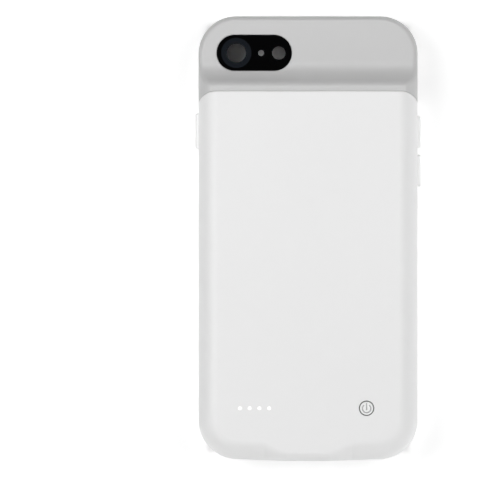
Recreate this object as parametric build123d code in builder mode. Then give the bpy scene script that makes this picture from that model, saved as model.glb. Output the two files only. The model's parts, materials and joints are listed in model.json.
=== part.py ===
from build123d import *
import math
import os

# Battery charging case for a flat phone, in millimetres.
# It lies on its front rim with its back up: +Z points out of the back, +Y towards the
# camera end and +X towards the volume keys. The origin is under the middle of the case.

# The phone that slides in, and the room round it
phone_width = 67.1
phone_length = 138.4
phone_depth = 7.1
phone_corner = 10.15
phone_gap = 0.2

# Walls of the shell
side_wall = 1.75
top_wall = 1.95
bottom_wall = 3.35
lip_thickness = 1.1
lip_overlap = 1.25
lip_bevel = 0.4
lip_bevel_angle = 45
floor_thickness = 0.8
cover_wall = 1.2
cover_back = 1.1
cap_wall = 1.6

# Outside form
bottom_corner = 12.6
bottom_arc = 500.0
back_round = 6.2
cap_round = 1.7
rim_round = 1.2

# Fuller form at the bottom end, round the charging port
pad_half = 6.5
pad_blend = 10.0
pad_round = 2.9
pad_sink = 0.4
pad_inset = 0.05
pad_sections = 15

# White cover over the battery, its end towards the camera and the ramp of the top cap
panel_drop = 24.35
panel_corner = 6.0
panel_shoulder = 3.7
panel_lean = 60.0
panel_edge_round = 0.3
crest_step = 0.4
crest_flat = 1.1
ramp_hollow_run = 6.0
ramp_crown_run = 2.4

# Joints between the shells
seam = 0.06
seat_gap = 0.05
rib_height = 0.8
rib_thickness = 0.8
tongue_window_gap = 0.4
tongue_side_gap = 1.8
lap_length = 2.5
lap_thickness = 1.0
groove_width = 0.16
groove_depth = 0.15

# Camera window and its black surround
window_length = 24.4
window_height = 11.7
window_drop = 9.95
window_inset = 16.28
window_edge_round = 0.3
surround_recess = 0.4
surround_flange = 0.9
surround_flange_thickness = 0.6
lens_radius = 3.1
lens_funnel_radius = 4.88
lens_funnel_depth = 0.9
lens_from_end = 6.4
flash_radius = 2.2
flash_from_end = 4.23
mic_radius = 1.0
mic_share = 0.47

# Slot for the ring switch
ring_slot_length = 9.0
ring_slot_height = 4.6
ring_slot_leg = 1.7

# Side keys, set off from the legs of the top cap
key_height = 3.0
key_proud = 1.05
key_gap = 0.15
key_corner = 0.75
key_travel = 0.3
key_stop = 0.05
key_flange = 0.7
key_flange_thickness = 0.35
key_skin_gap = 0.05
nub_height = 2.0
nub_inset = 1.5
strip_thickness = 0.35
strip_margin = 0.7
volume_key_length = 10.35
volume_key_round = 0.4
volume_key_leg = 2.58
volume_key_apart = 2.3
side_key_length = 11.7
side_key_round = 0.95
side_key_leg = 1.65

# Battery
battery_thickness = 3.8
battery_tape = 0.15
tape_margin = 4.0
battery_gap = 0.15
battery_side_gap = 1.0
battery_end_gap = 0.7
battery_edge = 0.5
battery_corner = 2.0
terrace_length = 5.0
terrace_thickness = 0.3
terrace_margin = 2.0
protection_length = 36.0
protection_width = 2.8
protection_thickness = 0.6
tab_width = 4.0
tab_thickness = 0.15
tab_spacing = 18.0
lead_room = 1.5
lead_x = -8.5
lead_diameter = 0.8
lead_spacing = 3.0
lead_jog = 2.0
lead_run = 2.4

# Circuit board
board_standoff = 0.6
board_thickness = 0.8
board_length = 22.5
board_side_margin = 7.2
board_corner = 1.5
board_screw_inset = 3.6
screw_diameter = 1.4
screw_head_diameter = 2.4
screw_head_height = 0.4
screw_depth = 1.5
screw_gap = 0.02
boss_diameter = 3.2

# Charge indicators and power button
indicator_rise = 17.27
indicator_inset = 18.1
indicator_pitch = 3.14
indicator_count = 4
indicator_diameter = 1.3
indicator_gap = 0.05
guide_thickness = 0.6
guide_width = 2.2
guide_margin = 1.2
led_length = 1.6
led_width = 0.8
led_height = 0.6
power_inset = 16.7
power_diameter = 4.3
power_gap = 0.35
power_edge_round = 0.15
power_flange = 0.7
power_flange_thickness = 0.4
power_flange_gap = 0.1
power_travel = 0.3
press_gap = 0.1
switch_length = 4.2
switch_width = 3.4
plunger_diameter = 1.6
plunger_gap = 0.2

# Parts on the circuit board
chip_x = 1.0
chip_size = 5.0
chip_height = 0.9
chip_edge = 0.15
inductor_x = 9.5
inductor_shift = 3.5
inductor_size = 5.2
inductor_corner = 1.0
inductor_headroom = 0.3
capacitor_x = -6.0
capacitor_length = 1.6
capacitor_width = 0.8
capacitor_height = 0.8
capacitor_pitch = 1.8
capacitor_count = 4

# Charging port in the bottom end
port_width = 7.5
port_height = 2.5
port_length = 5.4
port_wall = 0.3
port_gap = 0.15
port_rib_gap = 0.3
port_recess = 0.1
port_lift = 0.25
port_foot = 1.0
port_overhang = 3.2
port_tongue_width = 3.9
port_tongue_thickness = 0.7
port_tongue_length = 3.6
port_tongue_lift = 0.25

# Plug inside the phone bay
plug_width = 6.7
plug_thickness = 1.5
plug_length = 6.6
plug_corner = 0.6
plug_tip_round = 0.4
plug_base_width = 9.6
plug_base_height = 5.0
plug_base_depth = 2.0
plug_base_gap = 0.05
contact_count = 8
contact_pitch = 0.72
contact_width = 0.45
contact_length = 3.0
contact_thickness = 0.05
contact_setback = 0.8
flex_width = 6.0
flex_thickness = 0.15
flex_bend = 0.3
flex_slot_gap = 0.15
flex_landing = 2.5
flex_rise_run = 1.2

# Sound slots in the bottom end
sound_slot_length = 12.0
sound_slot_height = 2.0
sound_slot_x = 17.0

# Plan of the bay and the case
bay_width = phone_width + 2 * phone_gap
bay_length = phone_length + 2 * phone_gap
bay_depth = phone_depth + phone_gap
bay_corner = phone_corner + phone_gap
case_width = bay_width + 2 * side_wall
case_length = bay_length + top_wall + bottom_wall
half_width = case_width / 2
half_bay = bay_width / 2
case_top = case_length / 2
bay_top = case_top - top_wall
bay_middle = bay_top - bay_length / 2
bay_bottom = bay_top - bay_length

# Heights, from the front rim to the back
bay_ceiling = lip_thickness + bay_depth
parting = bay_ceiling + floor_thickness / 2
floor_back = bay_ceiling + floor_thickness
room_ceiling = floor_back + battery_gap + battery_thickness + battery_tape
case_depth = room_ceiling + cover_back
cap_depth = bay_ceiling + cap_wall
crest_height = case_depth - crest_step
round_start = case_depth - back_round
bay_mid_height = lip_thickness + bay_depth / 2
board_front = floor_back + board_standoff
board_back = board_front + board_thickness

# Corners of the plan, the lower ones tangent to the bowed bottom edge
top_corner = bay_corner + side_wall
top_corner_x = half_width - top_corner
top_corner_y = case_top - top_corner
low_corner_x = half_width - bottom_corner
arc_middle_y = bottom_arc - case_top
arc_reach = bottom_arc - bottom_corner
low_corner_y = arc_middle_y - math.sqrt(arc_reach**2 - low_corner_x**2)
arc_swing = math.degrees(math.asin(low_corner_x / arc_reach))

# End of the white cover
panel_end = case_top - panel_drop
side_end = panel_end - panel_shoulder


def skin_inset(height, radius):
    # how far a rounded back edge stands in from its wall at a height
    rise = max(0.0, height - case_depth + radius)
    return radius - math.sqrt(radius**2 - rise**2)


def skin_height(x):
    # height of the back at a place across the case
    inset = min(back_round, half_width - abs(x))
    return round_start + math.sqrt(back_round**2 - (back_round - inset) ** 2)


def case_outline(inset):
    # plan of the case, drawn parallel to its outside
    half = half_width - inset
    top = case_top - inset
    upper = top_corner - inset
    lower = bottom_corner - inset
    with BuildSketch() as plan:
        with BuildLine():
            Line((top_corner_x, top), (-top_corner_x, top))
            CenterArc((-top_corner_x, top_corner_y), upper, 90, 90)
            Line((-half, top_corner_y), (-half, low_corner_y))
            CenterArc((-low_corner_x, low_corner_y), lower, 180, 90 - arc_swing)
            CenterArc((0, arc_middle_y), bottom_arc - inset, 270 - arc_swing, 2 * arc_swing)
            CenterArc((low_corner_x, low_corner_y), lower, 270 + arc_swing, 90 - arc_swing)
            Line((half, low_corner_y), (half, top_corner_y))
            CenterArc((top_corner_x, top_corner_y), upper, 0, 90)
        make_face()
    return plan.sketch


def cover_plan(grow):
    # everything below the rounded end of the white cover, in plan
    lean = math.radians(panel_lean)
    outer = case_width
    knee = half_width - panel_shoulder / math.tan(lean)
    drop = (outer - knee) * math.tan(lean)
    with BuildSketch() as plan:
        with BuildLine():
            Polyline(
                (-outer, -case_length),
                (outer, -case_length),
                (outer, panel_end - drop),
                (knee, panel_end),
                (-knee, panel_end),
                (-outer, panel_end - drop),
                close=True,
            )
        make_face()
        fillet(plan.vertices().group_by(Axis.Y)[-1], panel_corner)
        offset(amount=grow)
    return plan.sketch


def key_plane(side, reach):
    # plane that faces out of a side wall, with its first axis along the wall
    return Plane(origin=(side * reach, 0, 0), x_dir=(0, side, 0), z_dir=(side, 0, 0))


# Fuller bottom end round the port: its edge radius eases from the middle to the sides
pad_reach = back_round + 2 * pad_sink
pad_reach_x = pad_half + pad_blend
with BuildPart() as port_pad:
    for i in range(pad_sections):
        x = pad_reach_x * (2 * i / (pad_sections - 1) - 1)
        ease = (1 - math.cos(math.pi * max(0.0, abs(x) - pad_half) / pad_blend)) / 2
        corner = pad_round + (back_round + pad_sink - pad_round) * ease
        bow = bottom_arc - math.sqrt(bottom_arc**2 - x**2)
        with BuildSketch(Plane.YZ.offset(x)) as section:
            with Locations((bow - case_top + pad_inset, case_depth)):
                Rectangle(pad_reach, pad_reach, align=(Align.MIN, Align.MAX))
            fillet(section.vertices().group_by(Axis.Y)[-1].sort_by(Axis.X)[0], corner)
    loft(ruled=True)

# Whole outside, before it is divided into tub, cover and cap
with BuildPart() as outer_form:
    with BuildSketch():
        add(case_outline(0))
    extrude(amount=case_depth)
    fillet(outer_form.faces().sort_by(Axis.Z)[-1].edges(), back_round)
    fillet(outer_form.faces().sort_by(Axis.Z)[0].edges(), rim_round)
    add(port_pad.part)

# Room inside the cover, and the same room less the fit of what plugs into it
inner_round = back_round - cover_wall
with BuildPart() as cover_room:
    with BuildSketch():
        add(case_outline(cover_wall))
    extrude(amount=room_ceiling)
    fillet(cover_room.faces().sort_by(Axis.Z)[-1].edges(), inner_round)
    split(bisect_by=Plane.XY.offset(parting), keep=Keep.TOP)

rib_inset = rib_thickness + skin_inset(floor_back + rib_height, back_round)
with BuildPart() as floor_step:
    with BuildSketch():
        add(case_outline(cover_wall + seat_gap))
    extrude(amount=room_ceiling)
    fillet(floor_step.faces().sort_by(Axis.Z)[-1].edges(), inner_round)
    split(bisect_by=Plane.XY.offset(parting), keep=Keep.TOP)
    split(bisect_by=Plane.XY.offset(floor_back + rib_height), keep=Keep.BOTTOM)
    with BuildSketch(Plane.XY.offset(floor_back)):
        add(case_outline(cover_wall + seat_gap + rib_inset))
    extrude(amount=rib_height, mode=Mode.SUBTRACT)

# Fine groove where the tub and the cover meet
with BuildPart() as parting_groove:
    with BuildSketch(Plane.XY.offset(parting - groove_width / 2)):
        Rectangle(2 * case_width, 2 * case_length)
        add(case_outline(skin_inset(parting, back_round) + groove_depth), mode=Mode.SUBTRACT)
    extrude(amount=groove_width)

# Space for the phone, with the mouth between the lips
mouth_width = bay_width - 2 * lip_overlap
mouth_length = bay_length - 2 * lip_overlap
mouth_corner = bay_corner - lip_overlap
with BuildPart() as phone_bay:
    with BuildSketch(Plane.XY.offset(lip_thickness)):
        with Locations((0, bay_middle)):
            RectangleRounded(bay_width, bay_length, bay_corner)
    extrude(amount=bay_depth)
    with BuildSketch():
        with Locations((0, bay_middle)):
            RectangleRounded(mouth_width, mouth_length, mouth_corner)
    extrude(amount=lip_thickness)
    with BuildSketch():
        with Locations((0, bay_middle)):
            RectangleRounded(
                mouth_width + 2 * lip_bevel, mouth_length + 2 * lip_bevel, mouth_corner + lip_bevel
            )
    extrude(amount=lip_bevel, taper=lip_bevel_angle)

# Places of the side keys below the legs, with the half lengths of the strips behind them
strip_reach = key_flange + key_gap + strip_margin
volume_strip_end = volume_key_length / 2 + strip_reach
side_strip_end = side_key_length / 2 + strip_reach
volume_up_y = side_end - volume_key_leg - volume_strip_end
volume_down_y = volume_up_y - volume_key_length - volume_key_apart
side_key_y = side_end - side_key_leg - side_strip_end

# Side keys: side, place along the wall, length and edge rounding
side_keys = {
    "volume_up_button": (1, volume_up_y, volume_key_length, volume_key_round),
    "volume_down_button": (1, volume_down_y, volume_key_length, volume_key_round),
    "side_button": (-1, side_key_y, side_key_length, side_key_round),
}
strip_face = half_bay + strip_thickness
flange_face = strip_face + key_travel + key_stop
skin_face = flange_face + key_flange_thickness + key_skin_gap
flange_height = key_height + 2 * key_flange
pocket_height = flange_height + 2 * key_gap
strip_height = pocket_height + 2 * strip_margin

# Retaining strips behind the keys: side, and the two ends along the wall
strips = {
    "volume_button_strip": (1, volume_down_y - volume_strip_end, volume_up_y + volume_strip_end),
    "side_button_strip": (-1, side_key_y - side_strip_end, side_key_y + side_strip_end),
}

# Charging port and plug places
port_mid = floor_back + port_lift + port_height / 2
port_mouth = pad_inset + skin_inset(port_mid + port_height / 2, pad_round) + port_recess - case_top
port_back = port_mouth + port_length
flex_y = bay_bottom - plug_base_depth / 2
flex_slot = flex_thickness + 2 * flex_slot_gap
plug_base_top = bay_mid_height + plug_base_height / 2

# Camera window, and the tongue of the floor that ends beside its surround
window_x = window_inset - half_bay
window_y = bay_top - window_drop
window_end = window_x - window_length / 2
tongue_end = window_y - window_height / 2 - surround_flange - tongue_window_gap
tongue_half = half_bay - tongue_side_gap

# Tub that holds the phone: side walls, bottom end, lips and the floor under the battery
with BuildPart() as phone_tub:
    add(outer_form.part)
    split(bisect_by=Plane.XY.offset(parting), keep=Keep.BOTTOM)
    add(floor_step.part)
    split(bisect_by=Plane.XZ.offset(-side_end), keep=Keep.TOP)
    add(phone_bay.part, mode=Mode.SUBTRACT)
    add(parting_groove.part, mode=Mode.SUBTRACT)
    # tongue of the floor that runs under the top cap
    with BuildSketch(Plane.XY.offset(bay_ceiling)):
        with Locations((0, side_end)):
            Rectangle(2 * tongue_half, 2 * (tongue_end - side_end))
    extrude(amount=floor_thickness)
    # rooms for the keys, open to the outside through a slot
    for side, place, length, _ in side_keys.values():
        with BuildSketch(key_plane(side, strip_face)):
            with Locations((side * place, bay_mid_height)):
                Rectangle(length + 2 * (key_flange + key_gap), pocket_height)
        extrude(amount=skin_face - strip_face, mode=Mode.SUBTRACT)
        with BuildSketch(key_plane(side, skin_face)):
            with Locations((side * place, bay_mid_height)):
                RectangleRounded(length + 2 * key_gap, key_height + 2 * key_gap, key_corner)
        extrude(amount=side_wall, mode=Mode.SUBTRACT)
    # seats for the strips that hold the keys in
    for side, low, high in strips.values():
        with BuildSketch(key_plane(side, half_bay)):
            with Locations((side * (low + high) / 2, bay_mid_height)):
                Rectangle(high - low + 2 * seat_gap, strip_height + 2 * seat_gap)
        extrude(amount=strip_thickness, mode=Mode.SUBTRACT)
    # pocket for the plug, and the slot for its flex up through the floor
    with BuildSketch(Plane.XZ.offset(-bay_bottom)):
        with Locations((0, bay_mid_height)):
            Rectangle(plug_base_width + 2 * plug_base_gap, plug_base_height + 2 * plug_base_gap)
    extrude(amount=plug_base_depth, mode=Mode.SUBTRACT)
    with BuildSketch(Plane.XY.offset(plug_base_top)):
        with Locations((0, flex_y)):
            Rectangle(flex_width + 2 * flex_slot_gap, flex_slot)
    extrude(amount=floor_back + rib_height - plug_base_top, mode=Mode.SUBTRACT)
    # gap in the rib for the charging port
    with BuildSketch(Plane.XZ.offset(case_top)):
        with Locations((0, floor_back)):
            Rectangle(port_width + 2 * port_rib_gap, case_depth, align=(Align.CENTER, Align.MIN))
    extrude(amount=-bottom_wall, mode=Mode.SUBTRACT)
    # sound slots
    with BuildSketch(Plane.XZ.offset(case_top)):
        with Locations((-sound_slot_x, bay_mid_height), (sound_slot_x, bay_mid_height)):
            SlotOverall(sound_slot_length, sound_slot_height)
    extrude(amount=-2 * bottom_wall, mode=Mode.SUBTRACT)

# Screws that hold the circuit board to the cover
board_bottom = port_mouth + port_overhang
board_top = board_bottom + board_length
board_half = half_width - cover_wall - board_side_margin
indicator_x = indicator_inset - half_width
power_x = half_width - power_inset
screw_places = [
    (-board_half + board_screw_inset, board_top - board_screw_inset),
    (board_half - board_screw_inset, board_top - board_screw_inset),
    (indicator_x + boss_diameter, board_bottom + board_screw_inset),
]
indicator_y = indicator_rise - case_top
indicator_places = [
    (indicator_x + indicator_pitch * (i - (indicator_count - 1) / 2), indicator_y)
    for i in range(indicator_count)
]


def port_outline(grow):
    # section of the charging port, narrower towards the front
    half = port_width / 2
    foot = half - port_foot
    back = port_mid + port_height / 2
    front = port_mid - port_height / 2
    with BuildSketch(Plane.XZ.offset(-port_mouth)) as section:
        with BuildLine():
            Polyline(
                (-half, back),
                (half, back),
                (half, port_mid),
                (foot, front),
                (-foot, front),
                (-half, port_mid),
                close=True,
            )
        make_face()
        fillet(section.vertices(), port_wall)
        offset(amount=grow)
    return section.sketch


# White cover over the battery
with BuildPart() as back_cover:
    add(outer_form.part)
    split(bisect_by=Plane.XY.offset(parting), keep=Keep.TOP)
    add(cover_room.part, mode=Mode.SUBTRACT)
    with BuildSketch(Plane.XY.offset(parting)):
        add(cover_plan(0))
    extrude(amount=case_depth, mode=Mode.INTERSECT)
    # rounded edge where the cover ends beside the crest
    end_edges = back_cover.edges().filter_by(lambda edge: (edge @ 0.5).Y > side_end)
    end_edges = end_edges.filter_by(lambda edge: (edge @ 0.5).Z > skin_height((edge @ 0.5).X) - seam)
    panel_edges = end_edges.filter_by(lambda edge: edge.bounding_box().min.Y > side_end - seam)
    fillet(panel_edges, panel_edge_round)
    add(parting_groove.part, mode=Mode.SUBTRACT)
    # bosses for the board screws
    with BuildSketch(Plane.XY.offset(board_back)):
        with Locations(*screw_places):
            Circle(boss_diameter / 2)
    extrude(amount=room_ceiling - board_back)
    with Locations(*[(x, y, board_back) for x, y in screw_places]):
        Cylinder(
            screw_diameter / 2 + screw_gap,
            screw_depth + screw_gap,
            align=(Align.CENTER, Align.CENTER, Align.MIN),
            mode=Mode.SUBTRACT,
        )
    # windows for the charge indicators and the power button
    with Locations(*[(x, y, case_depth) for x, y in indicator_places]):
        Hole(indicator_diameter / 2, depth=2 * cover_back)
    with Locations((power_x, indicator_y, case_depth)):
        Hole(power_diameter / 2 + power_gap, depth=2 * cover_back)
    # opening for the charging port
    extrude(port_outline(port_gap), amount=bottom_wall, both=True, mode=Mode.SUBTRACT)

# Ramp of the top cap, from the crest beside the cover down to the thin camera end
ramp_run = ramp_hollow_run + ramp_crown_run
ramp_rise = crest_height - cap_depth
ramp_turn = 2 * math.atan(ramp_rise / ramp_run)
ramp_foot = panel_end + crest_flat + ramp_run
cap_start = side_end - panel_corner
rebate = surround_flange + seat_gap
ring_slot_y = side_end + ring_slot_leg + ring_slot_length / 2
lap_half = half_width - back_round - battery_side_gap
cap_edge = min(cap_round, cap_depth - round_start - seam)

# Grey top cap: camera end, ramp, side legs and top lip in one soft moulding
with BuildPart() as top_cap:
    add(outer_form.part)
    split(bisect_by=Plane.XZ.offset(-cap_start), keep=Keep.BOTTOM)
    with BuildSketch(Plane.YZ):
        with BuildLine():
            hollow = JernArc(
                (ramp_foot, cap_depth),
                (-1, 0),
                ramp_hollow_run / math.sin(ramp_turn),
                -math.degrees(ramp_turn),
            )
            crown = JernArc(
                hollow @ 1,
                hollow % 1,
                ramp_crown_run / math.sin(ramp_turn),
                math.degrees(ramp_turn),
            )
            Polyline(
                crown @ 1,
                (cap_start - seam, crest_height),
                (cap_start - seam, 2 * case_depth),
                (case_length, 2 * case_depth),
                (case_length, cap_depth),
                (ramp_foot, cap_depth),
            )
        make_face()
    extrude(amount=case_width, both=True, mode=Mode.SUBTRACT)
    # soften the edge that the ramp leaves all round the cap
    crease = top_cap.edges().filter_by(lambda edge: edge.center().Z > cap_depth - seam)
    crease = crease.filter_by(lambda edge: edge.bounding_box().min.Y > cap_start - seam)
    cross = crease.filter_by(Axis.X).filter_by(lambda edge: edge.center().Y < ramp_foot + seam)
    ends = crease.filter_by(lambda edge: edge.bounding_box().max.Y < cap_start + seam)
    fillet([edge for edge in crease if edge not in cross and edge not in ends], cap_edge)
    # room for the cover above the parting and for the tub's walls below it
    with BuildSketch(Plane.XY.offset(parting)):
        add(cover_plan(seam))
    extrude(amount=case_depth, mode=Mode.SUBTRACT)
    with BuildSketch():
        with Locations((0, side_end + seam)):
            Rectangle(2 * case_width, case_length, align=(Align.CENTER, Align.MAX))
    extrude(amount=parting, mode=Mode.SUBTRACT)
    # flange that laps under the end of the cover
    with BuildSketch(Plane.XY.offset(room_ceiling - seat_gap)):
        with Locations((0, panel_end - lap_length)):
            Rectangle(2 * lap_half, lap_length + crest_flat, align=(Align.CENTER, Align.MIN))
    extrude(amount=-lap_thickness)
    add(phone_bay.part, mode=Mode.SUBTRACT)
    # recess for the tub's floor tongue
    with BuildSketch(Plane.XY.offset(bay_ceiling)):
        with Locations((0, tongue_end + seat_gap)):
            Rectangle(2 * (tongue_half + seat_gap), case_length, align=(Align.CENTER, Align.MAX))
    extrude(amount=floor_thickness + seat_gap, mode=Mode.SUBTRACT)
    # camera window, with a rebate inside for the surround's flange
    with BuildSketch(Plane.XY.offset(bay_ceiling)):
        with Locations((window_x, window_y)):
            SlotOverall(window_length, window_height)
    extrude(amount=case_depth, mode=Mode.SUBTRACT)
    rim = top_cap.edges(Select.LAST).filter_by(lambda edge: edge.center().Z > cap_depth - seam)
    fillet(rim, window_edge_round)
    with BuildSketch(Plane.XY.offset(bay_ceiling)):
        with Locations((window_x, window_y)):
            SlotOverall(window_length + 2 * rebate, window_height + 2 * rebate)
    extrude(amount=surround_flange_thickness + seat_gap, mode=Mode.SUBTRACT)
    # slot in the leg for the ring switch
    with BuildSketch(key_plane(1, half_bay)):
        with Locations((ring_slot_y, bay_mid_height)):
            SlotOverall(ring_slot_length, ring_slot_height)
    extrude(amount=side_wall, both=True, mode=Mode.SUBTRACT)

# Black surround in the camera window, open for the lens, the microphone and the flash
surround_top = cap_depth - surround_recess
lens_x = window_end + lens_from_end
flash_x = window_end + window_length - flash_from_end
lens_edge = lens_x + lens_funnel_radius
mic_x = lens_edge + mic_share * (flash_x - flash_radius - lens_edge)
funnel_angle = 2 * math.degrees(math.atan((lens_funnel_radius - lens_radius) / lens_funnel_depth))
with BuildPart() as camera_surround:
    with BuildSketch(Plane.XY.offset(bay_ceiling)):
        with Locations((window_x, window_y)):
            SlotOverall(window_length + 2 * surround_flange, window_height + 2 * surround_flange)
    extrude(amount=surround_flange_thickness)
    with BuildSketch(Plane.XY.offset(bay_ceiling)):
        with Locations((window_x, window_y)):
            SlotOverall(window_length - 2 * seat_gap, window_height - 2 * seat_gap)
    extrude(amount=surround_top - bay_ceiling)
    with Locations((lens_x, window_y, surround_top)):
        CounterSinkHole(lens_radius, lens_funnel_radius, counter_sink_angle=funnel_angle)
    with Locations((mic_x, window_y, surround_top)):
        Hole(mic_radius)
    with Locations((flash_x, window_y, surround_top)):
        Hole(flash_radius)

# Lithium pouch cell with the sealed terrace that carries its protection board
battery_half = half_width - back_round - battery_side_gap
battery_low = board_top + lead_room + terrace_length
battery_high = panel_end - lap_length - battery_end_gap
battery_front = floor_back + battery_gap
terrace_front = battery_front + (battery_thickness - terrace_thickness) / 2
terrace_back = terrace_front + terrace_thickness
terrace_low = battery_low - terrace_length
with BuildPart() as battery_cell:
    with BuildSketch(Plane.XY.offset(battery_front)):
        with Locations((0, (battery_low + battery_high) / 2)):
            RectangleRounded(2 * battery_half, battery_high - battery_low, battery_corner)
    extrude(amount=battery_thickness)
    fillet(battery_cell.faces().filter_by(Axis.Z).edges(), battery_edge)
    with BuildSketch(Plane.XY.offset(terrace_front)):
        with Locations((0, terrace_low)):
            Rectangle(
                2 * (battery_half - terrace_margin),
                terrace_length + battery_corner,
                align=(Align.CENTER, Align.MIN),
            )
    extrude(amount=terrace_thickness)

with BuildPart() as battery_tape_pad:
    with BuildSketch(Plane.XY.offset(room_ceiling - battery_tape)):
        with Locations((0, (battery_low + battery_high) / 2)):
            Rectangle(2 * (battery_half - tape_margin), battery_high - battery_low - 2 * tape_margin)
    extrude(amount=battery_tape)

protection_back = terrace_back + protection_thickness
with BuildPart() as cell_protection_board:
    with BuildSketch(Plane.XY.offset(terrace_back)):
        with Locations((0, terrace_low)):
            Rectangle(protection_length, protection_width, align=(Align.CENTER, Align.MIN))
    extrude(amount=protection_thickness)

with BuildPart() as cell_tabs:
    with BuildSketch(Plane.XY.offset(protection_back)):
        with Locations((-tab_spacing / 2, battery_low), (tab_spacing / 2, battery_low)):
            Rectangle(tab_width, terrace_length - protection_width / 2, align=(Align.CENTER, Align.MAX))
    extrude(amount=tab_thickness)


def battery_lead(start_x):
    # insulated lead from the protection board to its pad on the circuit board
    bend = lead_jog / 2
    first = terrace_low - lead_room
    with BuildPart() as lead:
        with BuildLine(Plane.XY.offset(board_back + lead_diameter / 2)):
            FilletPolyline(
                (start_x, terrace_low),
                (start_x, first),
                (start_x - lead_jog, first - lead_run),
                (start_x - lead_jog, first - 2 * lead_run),
                radius=bend,
            )
        with BuildSketch(Plane.XZ.offset(-terrace_low)):
            with Locations((start_x, board_back + lead_diameter / 2)):
                Circle(lead_diameter / 2)
        sweep()
    return lead


battery_lead_red = battery_lead(lead_x - lead_spacing / 2)
battery_lead_black = battery_lead(lead_x + lead_spacing / 2)

# Circuit board behind the indicators and the port
with BuildPart() as main_board:
    with BuildSketch(Plane.XY.offset(board_front)):
        with Locations((0, board_bottom + board_length / 2)):
            RectangleRounded(2 * board_half, board_length, board_corner)
        with Locations((0, board_bottom)):
            Rectangle(
                port_width + 2 * port_gap, 2 * (port_back + port_gap - board_bottom), mode=Mode.SUBTRACT
            )
        with Locations(*screw_places):
            Circle(screw_diameter / 2 + screw_gap, mode=Mode.SUBTRACT)
    extrude(amount=board_thickness)

with BuildPart() as board_screws:
    with BuildSketch(Plane.XY.offset(board_front)):
        with Locations(*screw_places):
            Circle(screw_head_diameter / 2)
    extrude(amount=-screw_head_height)
    with BuildSketch(Plane.XY.offset(board_front)):
        with Locations(*screw_places):
            Circle(screw_diameter / 2)
    extrude(amount=board_thickness + screw_depth)

with BuildPart() as control_chip:
    with BuildSketch(Plane.XY.offset(board_back)):
        with Locations((chip_x, indicator_y)):
            Rectangle(chip_size, chip_size)
    extrude(amount=chip_height)
    chamfer(control_chip.faces().sort_by(Axis.Z)[-1].edges(), chip_edge)

with BuildPart() as boost_inductor:
    with BuildSketch(Plane.XY.offset(board_back)):
        with Locations((inductor_x, indicator_y + inductor_shift)):
            RectangleRounded(inductor_size, inductor_size, inductor_corner)
    extrude(amount=room_ceiling - inductor_headroom - board_back)

with BuildPart() as board_capacitors:
    with BuildSketch(Plane.XY.offset(board_back)):
        with Locations((capacitor_x, indicator_y)):
            with GridLocations(0, capacitor_pitch, 1, capacitor_count):
                Rectangle(capacitor_length, capacitor_width)
    extrude(amount=capacitor_height)

# Charge indicators: lamps on the board, and the clear guide whose pegs show in the cover
with BuildPart() as indicator_leds:
    with BuildSketch(Plane.XY.offset(board_back)):
        with Locations(*indicator_places):
            Rectangle(led_length, led_width)
    extrude(amount=led_height)

guide_length = indicator_pitch * (indicator_count - 1) + 2 * guide_margin + guide_width
with BuildPart() as light_guide:
    with BuildSketch(Plane.XY.offset(room_ceiling)):
        with Locations((indicator_x, indicator_y)):
            SlotOverall(guide_length, guide_width)
    extrude(amount=-guide_thickness)
    with BuildSketch(Plane.XY.offset(room_ceiling)):
        with Locations(*indicator_places):
            Circle(indicator_diameter / 2 - indicator_gap)
    extrude(amount=cover_back)

# Power button, kept in by its flange, over the plunger of a tactile switch
power_flange_back = room_ceiling - power_flange_gap
power_flange_front = power_flange_back - power_flange_thickness
switch_back = power_flange_front - power_travel - press_gap
with BuildPart() as power_button:
    with BuildSketch(Plane.XY.offset(power_flange_front)):
        with Locations((power_x, indicator_y)):
            Circle(power_diameter / 2 + power_flange)
    extrude(amount=power_flange_thickness)
    with BuildSketch(Plane.XY.offset(power_flange_back)):
        with Locations((power_x, indicator_y)):
            Circle(power_diameter / 2)
    extrude(amount=case_depth - power_flange_back)
    fillet(power_button.faces().sort_by(Axis.Z)[-1].edges(), power_edge_round)

with BuildPart() as tact_switch:
    with BuildSketch(Plane.XY.offset(board_back)):
        with Locations((power_x, indicator_y)):
            Rectangle(switch_length, switch_width)
            Circle(plunger_diameter / 2 + plunger_gap, mode=Mode.SUBTRACT)
    extrude(amount=switch_back - board_back)

with BuildPart() as switch_plunger:
    with BuildSketch(Plane.XY.offset(power_flange_front)):
        with Locations((power_x, indicator_y)):
            Circle(plunger_diameter / 2)
    extrude(amount=board_back + power_travel + press_gap - power_flange_front)

# Charging port, its mouth set in the rounded bottom end
with BuildPart() as charging_port_shell:
    extrude(port_outline(0), amount=-port_length)
    extrude(port_outline(-port_wall), amount=port_wall - port_length, mode=Mode.SUBTRACT)

with BuildPart() as charging_port_tongue:
    with BuildSketch(Plane.XZ.offset(port_wall - port_back)):
        with Locations((0, port_mid + port_tongue_lift)):
            Rectangle(port_tongue_width, port_tongue_thickness)
    extrude(amount=port_tongue_length)

# Plug that goes into the phone, on a base let into the bottom wall
with BuildPart() as phone_plug_base:
    with BuildSketch(Plane.XZ.offset(-bay_bottom)):
        with Locations((0, bay_mid_height)):
            Rectangle(plug_base_width, plug_base_height)
    extrude(amount=plug_base_depth)

with BuildPart() as phone_plug_tongue:
    with BuildSketch(Plane.XZ.offset(-bay_bottom)):
        with Locations((0, bay_mid_height)):
            RectangleRounded(plug_width, plug_thickness, plug_corner)
    extrude(amount=-plug_length)
    fillet(phone_plug_tongue.faces().sort_by(Axis.Y)[-1].edges(), plug_tip_round)

contact_y = bay_bottom + plug_length - contact_setback - contact_length / 2
with BuildPart() as phone_plug_contacts:
    for face in (-1, 1):
        with BuildSketch(Plane.XY.offset(bay_mid_height + face * plug_thickness / 2)):
            with Locations((0, contact_y)):
                with GridLocations(contact_pitch, 0, contact_count, 1):
                    Rectangle(contact_width, contact_length)
        extrude(amount=face * contact_thickness)

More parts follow.
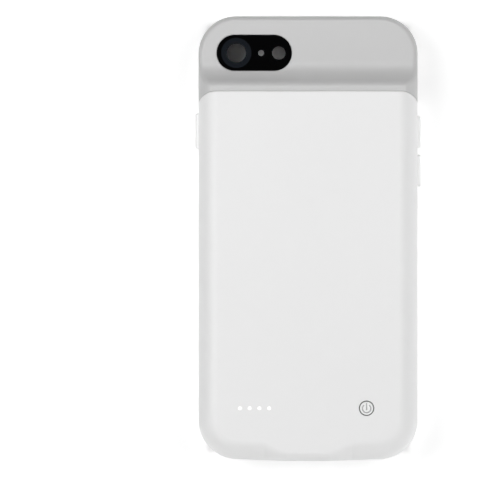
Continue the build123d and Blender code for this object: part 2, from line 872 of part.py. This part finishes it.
# Flex from the plug up through the floor, under the port and onto the circuit board
flex_run = floor_back + seat_gap + flex_thickness / 2
flex_end = board_front - flex_thickness / 2
flex_turn = port_back + port_gap
with BuildPart() as plug_flex:
    with BuildSketch(Plane.YZ):
        with BuildLine():
            FilletPolyline(
                (flex_y, plug_base_top),
                (flex_y, flex_run),
                (flex_turn, flex_run),
                (flex_turn + flex_rise_run, flex_end),
                (flex_turn + flex_rise_run + flex_landing, flex_end),
                radius=flex_bend,
            )
        trace(line_width=flex_thickness)
    extrude(amount=flex_width / 2, both=True)

pieces = {
    "phone_tub": phone_tub,
    "back_cover": back_cover,
    "top_cap": top_cap,
    "camera_surround": camera_surround,
    "battery_cell": battery_cell,
    "battery_tape": battery_tape_pad,
    "cell_protection_board": cell_protection_board,
    "cell_tabs": cell_tabs,
    "battery_lead_red": battery_lead_red,
    "battery_lead_black": battery_lead_black,
    "main_board": main_board,
    "board_screws": board_screws,
    "control_chip": control_chip,
    "boost_inductor": boost_inductor,
    "board_capacitors": board_capacitors,
    "indicator_leds": indicator_leds,
    "light_guide": light_guide,
    "power_button": power_button,
    "tact_switch": tact_switch,
    "switch_plunger": switch_plunger,
    "charging_port_shell": charging_port_shell,
    "charging_port_tongue": charging_port_tongue,
    "phone_plug_base": phone_plug_base,
    "phone_plug_tongue": phone_plug_tongue,
    "phone_plug_contacts": phone_plug_contacts,
    "plug_flex": plug_flex,
}

# Side keys: a cap that stands out through the wall, a flange that keeps it in and a nub for the phone
for name, (side, place, length, edge_round) in side_keys.items():
    with BuildPart() as key:
        with BuildSketch(key_plane(side, flange_face)):
            with Locations((side * place, bay_mid_height)):
                RectangleRounded(length, key_height, key_corner)
        extrude(amount=half_width + key_proud - flange_face)
        fillet(key.faces().sort_by(Axis.X)[-1 if side > 0 else 0].edges(), edge_round)
        with BuildSketch(key_plane(side, flange_face)):
            with Locations((side * place, bay_mid_height)):
                Rectangle(length + 2 * key_flange, flange_height)
        extrude(amount=key_flange_thickness)
        with BuildSketch(key_plane(side, flange_face)):
            with Locations((side * place, bay_mid_height)):
                Rectangle(length - 2 * nub_inset, nub_height)
        extrude(amount=half_bay + seat_gap - flange_face)
    pieces[name] = key

for name, (side, low, high) in strips.items():
    with BuildPart() as strip:
        with BuildSketch(key_plane(side, half_bay)):
            with Locations((side * (low + high) / 2, bay_mid_height)):
                Rectangle(high - low, strip_height)
            for key_side, place, length, _ in side_keys.values():
                if key_side == side:
                    with Locations((side * place, bay_mid_height)):
                        Rectangle(
                            length - 2 * (nub_inset - key_gap),
                            nub_height + 2 * key_gap,
                            mode=Mode.SUBTRACT,
                        )
        extrude(amount=strip_thickness)
    pieces[name] = strip

os.makedirs("parts", exist_ok=True)
for name, piece in pieces.items():
    piece.part.label = name
    export_step(piece.part, f"parts/{name}.step")
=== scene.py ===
import json
import math

import bpy
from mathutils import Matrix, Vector


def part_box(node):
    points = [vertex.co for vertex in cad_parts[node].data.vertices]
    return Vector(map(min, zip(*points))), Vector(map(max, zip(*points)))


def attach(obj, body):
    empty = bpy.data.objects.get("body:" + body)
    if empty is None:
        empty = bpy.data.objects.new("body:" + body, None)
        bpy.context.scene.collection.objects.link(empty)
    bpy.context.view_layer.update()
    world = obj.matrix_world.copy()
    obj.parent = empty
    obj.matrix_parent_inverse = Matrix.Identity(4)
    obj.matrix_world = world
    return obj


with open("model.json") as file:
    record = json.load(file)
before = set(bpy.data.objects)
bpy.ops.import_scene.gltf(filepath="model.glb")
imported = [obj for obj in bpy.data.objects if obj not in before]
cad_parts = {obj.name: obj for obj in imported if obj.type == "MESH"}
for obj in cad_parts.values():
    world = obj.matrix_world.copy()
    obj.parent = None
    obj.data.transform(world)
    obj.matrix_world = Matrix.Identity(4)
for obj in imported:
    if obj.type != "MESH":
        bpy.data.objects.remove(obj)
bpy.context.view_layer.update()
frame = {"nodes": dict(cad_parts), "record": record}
nodes = frame["nodes"]
mm = 0.001
noiseMiddle = 0.5  # what a noise node gives on average
print("frame:", len(nodes), "nodes")


class Wire:
    # a socket of a material, with arithmetic that adds its Math nodes
    def __init__(self, tree, socket=None):
        self.tree = tree
        self.socket = socket

    def node(self, kind, settings=None, sockets=None, output=0):
        new = self.tree.nodes.new("ShaderNode" + kind)
        for key, value in (settings or {}).items():
            setattr(new, key, value)
        for key, value in (sockets or {}).items():
            if isinstance(value, Wire):
                self.tree.links.new(value.socket, new.inputs[key])
            else:
                new.inputs[key].default_value = value
        return Wire(self.tree, new.outputs[output] if new.outputs else None)

    def also(self, output):
        # another output of the same node
        return Wire(self.tree, self.socket.node.outputs[output])

    def maths(self, operation, first, second):
        return self.node("Math", {"operation": operation}, {0: first, 1: second})

    def __add__(self, other):
        return self.maths("ADD", self, other)

    def __radd__(self, other):
        return self.maths("ADD", other, self)

    def __sub__(self, other):
        return self.maths("SUBTRACT", self, other)

    def __rsub__(self, other):
        return self.maths("SUBTRACT", other, self)

    def __mul__(self, other):
        return self.maths("MULTIPLY", self, other)

    def __rmul__(self, other):
        return self.maths("MULTIPLY", other, self)


def newMaterial(name):
    material = bpy.data.materials.new(name)
    material.use_nodes = True
    material.node_tree.nodes.clear()
    return material, Wire(material.node_tree)


def setOutput(wire, surface):
    wire.node("OutputMaterial", {}, {"Surface": surface})


def grey(level):
    return (level, level, level, 1.0)


def mixColour(wire, factor, first, second):
    # a Mix node's colours are sockets 6 and 7, and its mixed colour is output 2
    return wire.node("Mix", {"data_type": "RGBA"}, {0: factor, 6: first, 7: second}, 2)


def bandMask(wire, value, low, high):
    # 0 below low, 1 above high, smooth between
    settings = {"interpolation_type": "SMOOTHSTEP"}
    return wire.node("MapRange", settings, {0: value, 1: low, 2: high, 3: 0.0, 4: 1.0})


def objectPlace(wire):
    return wire.node("TexCoord", {}, {}, "Object")


def noise(wire, place, size, detail=2.0, rough=0.5):
    sockets = {"Vector": place, "Scale": 1 / size, "Detail": detail, "Roughness": rough}
    return wire.node("TexNoise", {}, sockets)


def addBump(wire, height, strength, depth):
    return wire.node("Bump", {}, {"Strength": strength, "Distance": depth, "Height": height})


def seenRay(wire):
    # 1 for what the camera sees, itself or in a reflection
    camera = wire.node("LightPath", {}, {}, "Is Camera Ray")
    mirrored = camera.also("Is Glossy Ray") + camera.also("Is Transmission Ray")
    return wire.maths("MINIMUM", camera + mirrored, 1.0)


def roundMask(wire, place, centre, radius, softness):
    # 0 inside an upright cylinder, 1 outside it
    split = wire.node("SeparateXYZ", {}, {0: place})
    flat = wire.node("CombineXYZ", {}, {0: split, 1: split.also(1), 2: 0.0})
    away = wire.node("VectorMath", {"operation": "DISTANCE"}, {0: flat, 1: centre}, "Value")
    return bandMask(wire, away, radius - softness, radius)


def moulded(name, look):
    # moulded plastic or rubber: spark-eroded grain, faint mottling and uneven sheen
    material, wire = newMaterial(name)
    place = objectPlace(wire)
    mottle = noise(wire, place, look["mottleSize"], detail=3.0)
    colour = mixColour(wire, mottle, look["dark"], look["light"])
    # painted shade: a dark colour outside an upright circle, standing in for the shade in a gap
    # round a part
    if "paintedGapShade" in look:
        centre, radius = look["gapShadeCentre"], look["gapShadeRadius"]
        outside = roundMask(wire, place, centre, radius, look["gapShadeSoftness"])
        colour = mixColour(wire, outside, colour, look["paintedGapShade"])
    grain = noise(wire, place, look["grainSize"], detail=3.0, rough=0.6)
    sheen = look["roughness"] + (mottle - noiseMiddle) * look["sheenSpread"]
    shader = wire.node("BsdfPrincipled", {}, {
        "Base Color": colour,
        "Roughness": sheen + (grain - noiseMiddle) * look["sheenGrain"],
        "Normal": addBump(wire, grain, look["grainStrength"], look["grainDepth"]),
        "Specular IOR Level": look["specular"],
    })
    setOutput(wire, shader)
    return material


shellLook = {
    "light": grey(0.845),
    "dark": grey(0.825),
    "roughness": 0.48,
    "specular": 0.5,
    "mottleSize": 9 * mm,
    "grainSize": 0.22 * mm,
    "grainStrength": 0.25,
    "grainDepth": 0.012 * mm,
    "sheenSpread": 0.08,
    "sheenGrain": 0.10,
}
keyLook = dict(shellLook, light=grey(0.95), dark=grey(0.935), roughness=0.42, grainSize=0.16 * mm)
# painted shade: the power button is painted dark outside its top, where its flange shows in the
# gap round it, for the shade in that gap
keyLow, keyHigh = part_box("power_button")
keyMiddle = (keyLow + keyHigh) / 2
powerLook = dict(
    keyLook,
    light=grey(0.865),
    dark=grey(0.85),
    paintedGapShade=grey(0.12),
    gapShadeCentre=(keyMiddle.x, keyMiddle.y, 0.0),
    gapShadeRadius=2.14 * mm,
    gapShadeSoftness=0.03 * mm,
)
capLook = {
    "light": grey(0.555),
    "dark": grey(0.53),
    "roughness": 0.50,
    "specular": 0.5,
    "mottleSize": 7 * mm,
    "grainSize": 0.16 * mm,
    "grainStrength": 0.35,
    "grainDepth": 0.012 * mm,
    "sheenSpread": 0.08,
    "sheenGrain": 0.12,
}
darkLook = {
    "light": (0.022, 0.022, 0.023, 1.0),
    "dark": (0.016, 0.016, 0.017, 1.0),
    "roughness": 0.5,
    "specular": 0.3,
    "mottleSize": 4 * mm,
    "grainSize": 0.15 * mm,
    "grainStrength": 0.3,
    "grainDepth": 0.01 * mm,
    "sheenSpread": 0.1,
    "sheenGrain": 0.1,
}
plasticLook = dict(shellLook, light=grey(0.80), dark=grey(0.77), roughness=0.4)
redLook = dict(
    darkLook,
    light=(0.5, 0.02, 0.018, 1.0),
    dark=(0.42, 0.015, 0.014, 1.0),
    roughness=0.38,
)
ceramicLook = dict(
    darkLook,
    light=(0.46, 0.34, 0.23, 1.0),
    dark=(0.38, 0.27, 0.18, 1.0),
    roughness=0.6,
)
tapeLook = dict(darkLook, grainSize=0.4 * mm, roughness=0.85)


surroundLook = {
    "lensFromMiddle": -5.8 * mm,
    "funnelRadius": 4.9 * mm,
    "funnelSoftness": 0.06 * mm,
    "funnelColour": (0.013, 0.0155, 0.020, 1.0),
    "plateColour": (0.0005, 0.0005, 0.0006, 1.0),
    "funnelRoughness": 0.4,
    "plateRoughness": 0.6,
    "specular": 0.006,
    "grainSize": 0.12 * mm,
    "grainStrength": 0.2,
    "grainDepth": 0.006 * mm,
    "sheenGrain": 0.1,
}


def surroundMaterial(look):
    # deep black plate, its lens funnel a little lighter and smoother
    material, wire = newMaterial("deepBlack")
    place = objectPlace(wire)
    low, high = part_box("camera_surround")
    middle = (low + high) / 2
    lens = (middle.x + look["lensFromMiddle"], middle.y, 0.0)
    plate = roundMask(wire, place, lens, look["funnelRadius"], look["funnelSoftness"])
    grain = noise(wire, place, look["grainSize"])
    rough = look["funnelRoughness"] + plate * (look["plateRoughness"] - look["funnelRoughness"])
    shader = wire.node("BsdfPrincipled", {}, {
        "Base Color": mixColour(wire, plate, look["funnelColour"], look["plateColour"]),
        "Roughness": rough + (grain - noiseMiddle) * look["sheenGrain"],
        "Normal": addBump(wire, grain, look["grainStrength"], look["grainDepth"]),
        "Specular IOR Level": look["specular"],
    })
    setOutput(wire, shader)
    return material


guideLook = {
    "colour": grey(0.93),
    "core": grey(0.98),
    "cloudSize": 0.5 * mm,
    "roughness": 0.25,
    "sheenSpread": 0.1,
    # painted glow, standing in for a little light behind the pegs
    "glow": 0.22,
}


def guideMaterial(look):
    # milky clear pegs with a painted glow: they emit a little light of their own, standing in for
    # light behind them
    material, wire = newMaterial("milkyGuide")
    place = objectPlace(wire)
    cloud = noise(wire, place, look["cloudSize"])
    colour = mixColour(wire, cloud, look["colour"], look["core"])
    shader = wire.node("BsdfPrincipled", {}, {
        "Base Color": colour,
        "Roughness": look["roughness"] + (cloud - noiseMiddle) * look["sheenSpread"],
        "Emission Color": colour,
        "Emission Strength": look["glow"],
    })
    setOutput(wire, shader)
    return material


def metal(name, look):
    # bare metal with fine drawing lines along one axis
    material, wire = newMaterial(name)
    place = objectPlace(wire)
    stretched = wire.node("Mapping", {}, {"Vector": place, "Scale": look["stretch"]})
    lines = noise(wire, stretched, look["lineSize"], detail=3.0)
    shader = wire.node("BsdfPrincipled", {}, {
        "Base Color": mixColour(wire, lines, look["dark"], look["light"]),
        "Metallic": 1.0,
        "Roughness": look["roughness"] + (lines - noiseMiddle) * look["sheenSpread"],
        "Normal": addBump(wire, lines, look["lineStrength"], look["lineDepth"]),
    })
    setOutput(wire, shader)
    return material


steelLook = {
    "light": (0.66, 0.66, 0.67, 1.0),
    "dark": (0.52, 0.52, 0.53, 1.0),
    "roughness": 0.32,
    "stretch": (1.0, 0.08, 1.0),
    "lineSize": 0.08 * mm,
    "lineStrength": 0.2,
    "lineDepth": 0.004 * mm,
    "sheenSpread": 0.15,
}
nickelLook = dict(
    steelLook,
    light=(0.70, 0.68, 0.64, 1.0),
    dark=(0.58, 0.56, 0.52, 1.0),
    roughness=0.3,
)
goldLook = dict(
    steelLook,
    light=(0.90, 0.69, 0.30, 1.0),
    dark=(0.80, 0.57, 0.20, 1.0),
    roughness=0.24,
)
foilLook = dict(
    steelLook,
    light=(0.76, 0.77, 0.78, 1.0),
    dark=(0.66, 0.67, 0.68, 1.0),
    roughness=0.42,
    stretch=(1.0, 1.0, 1.0),
    lineSize=3 * mm,
    lineDepth=0.05 * mm,
)


boardLook = {
    "mask": (0.012, 0.11, 0.045, 1.0),
    "trace": (0.03, 0.20, 0.09, 1.0),
    "pitch": 1.1 * mm,
    "trackEdge": (0.05, 0.09),
    "trackStrength": 0.4,
    "trackDepth": 0.03 * mm,
    "trackSheen": 0.1,
    "roughness": 0.35,
}


def boardMaterial(look):
    # solder mask over a net of copper tracks
    material, wire = newMaterial("solderMask")
    place = objectPlace(wire)
    settings = {"feature": "DISTANCE_TO_EDGE", "distance": "EUCLIDEAN"}
    sockets = {"Vector": place, "Scale": 1 / look["pitch"]}
    edges = wire.node("TexVoronoi", settings, sockets, "Distance")
    track = 1 - bandMask(wire, edges, *look["trackEdge"])
    shader = wire.node("BsdfPrincipled", {}, {
        "Base Color": mixColour(wire, track, look["mask"], look["trace"]),
        "Roughness": look["roughness"] + track * look["trackSheen"],
        "Normal": addBump(wire, track, look["trackStrength"], look["trackDepth"]),
    })
    setOutput(wire, shader)
    return material


flexLook = {
    "film": (0.36, 0.15, 0.03, 1.0),
    "copper": (0.62, 0.30, 0.10, 1.0),
    "pitch": 0.72 * mm,
    "lineEdge": (0.45, 0.6),
    "lineSheen": 0.08,
    "roughness": 0.3,
}
waveLength = math.pi / 10  # of a wave node at scale 1


def flexMaterial(look):
    # amber film over straight copper lines
    material, wire = newMaterial("amberFilm")
    place = objectPlace(wire)
    settings = {"wave_type": "BANDS", "bands_direction": "X"}
    sockets = {"Vector": place, "Scale": waveLength / look["pitch"]}
    line = bandMask(wire, wire.node("TexWave", settings, sockets, "Fac"), *look["lineEdge"])
    shader = wire.node("BsdfPrincipled", {}, {
        "Base Color": mixColour(wire, line, look["film"], look["copper"]),
        "Roughness": look["roughness"] + line * look["lineSheen"],
    })
    setOutput(wire, shader)
    return material


finishes = {
    "white_shell": moulded("satinWhite", shellLook),
    "grey_cap": moulded("softGrey", capLook),
    "black_surround": surroundMaterial(surroundLook),
    "white_key": moulded("keyWhite", keyLook),
    "light_guide": guideMaterial(guideLook),
    "cell_foil": metal("dullFoil", foilLook),
    "tape": moulded("foamTape", tapeLook),
    "circuit_board": boardMaterial(boardLook),
    "nickel": metal("nickelStrip", nickelLook),
    "red_insulation": moulded("redLead", redLook),
    "black_insulation": moulded("blackLead", darkLook),
    "black_component": moulded("componentBlack", darkLook),
    "ceramic_component": moulded("firedCeramic", ceramicLook),
    "steel": metal("stampedSteel", steelLook),
    "black_plastic": moulded("frameBlack", dict(darkLook, roughness=0.42)),
    "white_plastic": moulded("baseWhite", plasticLook),
    "gold_contact": metal("goldPlate", goldLook),
    "flex_film": flexMaterial(flexLook),
}
for subpart in frame["record"]["subparts"]:
    for slot in nodes[subpart["node"]].material_slots:
        slot.material = finishes[subpart["material_slot"]]
# the power button's finish, with the painted shade in its gap
gapShadedKey = moulded("keyGapShade", powerLook)
for slot in nodes["power_button"].material_slots:
    slot.material = gapShadedKey
print("finishes:", len(finishes))


def deselectAll():
    if bpy.context.mode != "OBJECT":
        bpy.ops.object.mode_set(mode="OBJECT")
    bpy.ops.object.select_all(action="DESELECT")


def applyModifiers(piece):
    bpy.context.view_layer.objects.active = piece
    for modifier in list(piece.modifiers):
        bpy.ops.object.modifier_apply(modifier=modifier.name)


# printed sign on the power button: angles in degrees
signLook = {
    "drop": 0.08 * mm,
    "radius": 1.35 * mm,
    "line": 0.42 * mm,
    "halfGap": 36,
    "barTop": 1.76 * mm,
    "barFoot": -0.56 * mm,
    "ink": 0.04 * mm,
    "proud": 0.025 * mm,  # the rest of the ink is sunk in the button
    "steps": 40,
    "weld": 0.001 * mm,
    "corner": 0.1 * mm,
    "cornerSteps": 3,
    "cornerAngle": 50,
    "smoothAngle": 35,
    "light": grey(0.36),
    "dark": grey(0.33),
}


def signArc(look, centre):
    # one end face, spun round the centre
    start = math.radians(90 - look["halfGap"])
    sweep = math.radians(360 - 2 * look["halfGap"])
    foot = centre + Vector((math.cos(start), math.sin(start), 0)) * look["radius"]
    deselectAll()
    bpy.ops.mesh.primitive_plane_add(size=1, location=foot, rotation=(math.pi / 2, 0, start))
    arc = bpy.context.object
    arc.scale = (look["line"], look["ink"], 1)
    bpy.ops.object.transform_apply(location=True, rotation=True, scale=True)
    bpy.ops.object.mode_set(mode="EDIT")
    bpy.ops.mesh.select_all(action="SELECT")
    bpy.ops.mesh.spin(steps=look["steps"], angle=sweep, center=centre, axis=(0, 0, 1))
    bpy.ops.mesh.select_all(action="SELECT")
    bpy.ops.mesh.remove_doubles(threshold=look["weld"])
    bpy.ops.mesh.normals_make_consistent(inside=False)
    bpy.ops.object.mode_set(mode="OBJECT")
    return arc


def signBar(look, centre):
    middle = centre + Vector((0, look["barTop"] + look["barFoot"], 0)) / 2
    deselectAll()
    bpy.ops.mesh.primitive_cube_add(size=1, location=middle)
    bar = bpy.context.object
    bar.scale = (look["line"], look["barTop"] - look["barFoot"], look["ink"])
    bpy.ops.object.transform_apply(location=True, rotation=True, scale=True)
    return bar


def powerSign(look):
    height = keyHigh.z + look["proud"] - look["ink"] / 2
    centre = Vector((keyMiddle.x, keyMiddle.y - look["drop"], height))
    arc = signArc(look, centre)
    bar = signBar(look, centre)
    deselectAll()
    bar.select_set(True)
    arc.select_set(True)
    bpy.context.view_layer.objects.active = arc
    bpy.ops.object.join()
    sign = bpy.context.object
    sign.name = sign.data.name = "powerSign"
    bevel = sign.modifiers.new("rounding", "BEVEL")
    bevel.width = look["corner"]
    bevel.segments = look["cornerSteps"]
    bevel.limit_method = "ANGLE"
    bevel.angle_limit = math.radians(look["cornerAngle"])
    bevel.use_clamp_overlap = True
    applyModifiers(sign)
    bpy.ops.object.shade_smooth_by_angle(angle=math.radians(look["smoothAngle"]))
    inkLook = dict(capLook, light=look["light"], dark=look["dark"])
    sign.data.materials.append(moulded("signInk", inkLook))
    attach(sign, "power_key")


powerSign(signLook)
print("power sign done")


# pale floor, a little brighter to the eye than the lamps make it
floorLook = {
    "size": 8.0,
    "colour": grey(0.95),
    "lift": 0.36,
    "halfWidth": 34.5 * mm,
    "halfLength": 71.0 * mm,
    "edge": 3.0 * mm,
}


def makeFloor(look):
    deselectAll()
    bpy.ops.mesh.primitive_plane_add(size=look["size"], location=(0, 0, 0))
    floor = bpy.context.object
    floor.name = "floor"
    material, wire = newMaterial("paleFloor")
    place = objectPlace(wire)
    split = wire.node("SeparateXYZ", {}, {0: place})
    across = wire.node("Math", {"operation": "ABSOLUTE"}, {0: split})
    along = wire.node("Math", {"operation": "ABSOLUTE"}, {0: split.also(1)})
    # no lift under the case
    aside = bandMask(wire, across, look["halfWidth"] - look["edge"], look["halfWidth"])
    beyond = bandMask(wire, along, look["halfLength"] - look["edge"], look["halfLength"])
    outside = 1 - (1 - aside) * (1 - beyond)
    seen = seenRay(wire)
    lift = wire.node("Emission", {}, {"Color": outside * seen * look["lift"]})
    paint = wire.node("BsdfDiffuse", {}, {"Color": look["colour"]})
    setOutput(wire, wire.node("AddShader", {}, {0: paint, 1: lift}))
    floor.data.materials.append(material)


makeFloor(floorLook)

# boxes round the case fill it with soft light: tilt in degrees from straight up
fillLook = {
    "size": 0.5,
    "lamps": {
        "northWest": {"towards": (-0.9, 0.35), "tilt": 50, "distance": 0.8, "watts": 2.3},
        "northEast": {"towards": (0.9, 0.35), "tilt": 50, "distance": 0.8, "watts": 1.75},
        "south": {"towards": (0, -1), "tilt": 58, "distance": 1.2, "watts": 1.5},
        "southLow": {"towards": (0, -1), "tilt": 80, "distance": 1.2, "watts": 4.2},
        "east": {"towards": (1, 0), "tilt": 58, "distance": 1.2, "watts": 1.4},
        "eastLow": {"towards": (1, 0), "tilt": 80, "distance": 1.2, "watts": 3.6},
        "west": {"towards": (-1, 0), "tilt": 58, "distance": 1.2, "watts": 2.4},
    },
}
# panels high above it only give the back its sheen
sheenLook = {
    "size": 1.2,
    "lamps": {
        "middle": {"towards": (0, 0), "tilt": 0, "distance": 2.2, "watts": 11.5},
        "north": {"towards": (0, 1), "tilt": 16, "distance": 2.2, "watts": 29.5},
        "west": {"towards": (-1, 0), "tilt": 20, "distance": 2.2, "watts": 14.0},
        "farWest": {"towards": (-1, 0), "tilt": 38, "distance": 2.2, "watts": 15.5},
    },
}


def makeLamps(look, kind, shiny):
    for side, aim in look["lamps"].items():
        lamp = bpy.data.lights.new(side + kind, "AREA")
        lamp.energy = aim["watts"]
        lamp.size = look["size"]
        holder = bpy.data.objects.new(lamp.name, lamp)
        tilt = math.radians(aim["tilt"])
        x, y = aim["towards"]
        place = Vector((x * math.sin(tilt), y * math.sin(tilt), math.cos(tilt))) * aim["distance"]
        holder.location = place
        holder.rotation_euler = place.to_track_quat("Z", "Y").to_euler()
        holder.visible_glossy = shiny
        holder.visible_diffuse = not shiny
        bpy.context.scene.collection.objects.link(holder)


makeLamps(fillLook, "Box", shiny=False)
makeLamps(sheenLook, "Panel", shiny=True)

# dim room, white to the eye
roomLook = {"level": 0.14, "seen": 1.0}


def makeRoom(look):
    world = bpy.data.worlds.new("paleRoom")
    world.use_nodes = True
    world.node_tree.nodes.clear()
    wire = Wire(world.node_tree)
    seen = seenRay(wire)
    level = look["level"] + seen * (look["seen"] - look["level"])
    sky = wire.node("Background", {}, {"Color": level})
    wire.node("OutputWorld", {}, {"Surface": sky})
    bpy.context.scene.world = world


makeRoom(roomLook)

# camera straight above, a long lens, off to the side of the case as in the picture
cameraLook = {
    "lens": 400.0,
    "sensor": 36.0,
    "pixels": 480,
    "pixelSize": 0.3245 * mm,
    "pixelHeight": 6 * mm,  # height at which a pixel has that size
    "centre": (-22.08 * mm, -0.44 * mm),
    "farthest": 20.0,
}


def makeCamera(look):
    camera = bpy.data.cameras.new("camera")
    camera.lens = look["lens"]
    camera.sensor_width = look["sensor"]
    camera.clip_end = look["farthest"]
    holder = bpy.data.objects.new("camera", camera)
    distance = look["pixels"] * look["pixelSize"] * look["lens"] / look["sensor"]
    holder.location = (*look["centre"], distance + look["pixelHeight"])
    bpy.context.scene.collection.objects.link(holder)
    bpy.context.scene.camera = holder


makeCamera(cameraLook)
bpy.context.scene.view_settings.view_transform = "Standard"
print("studio done")
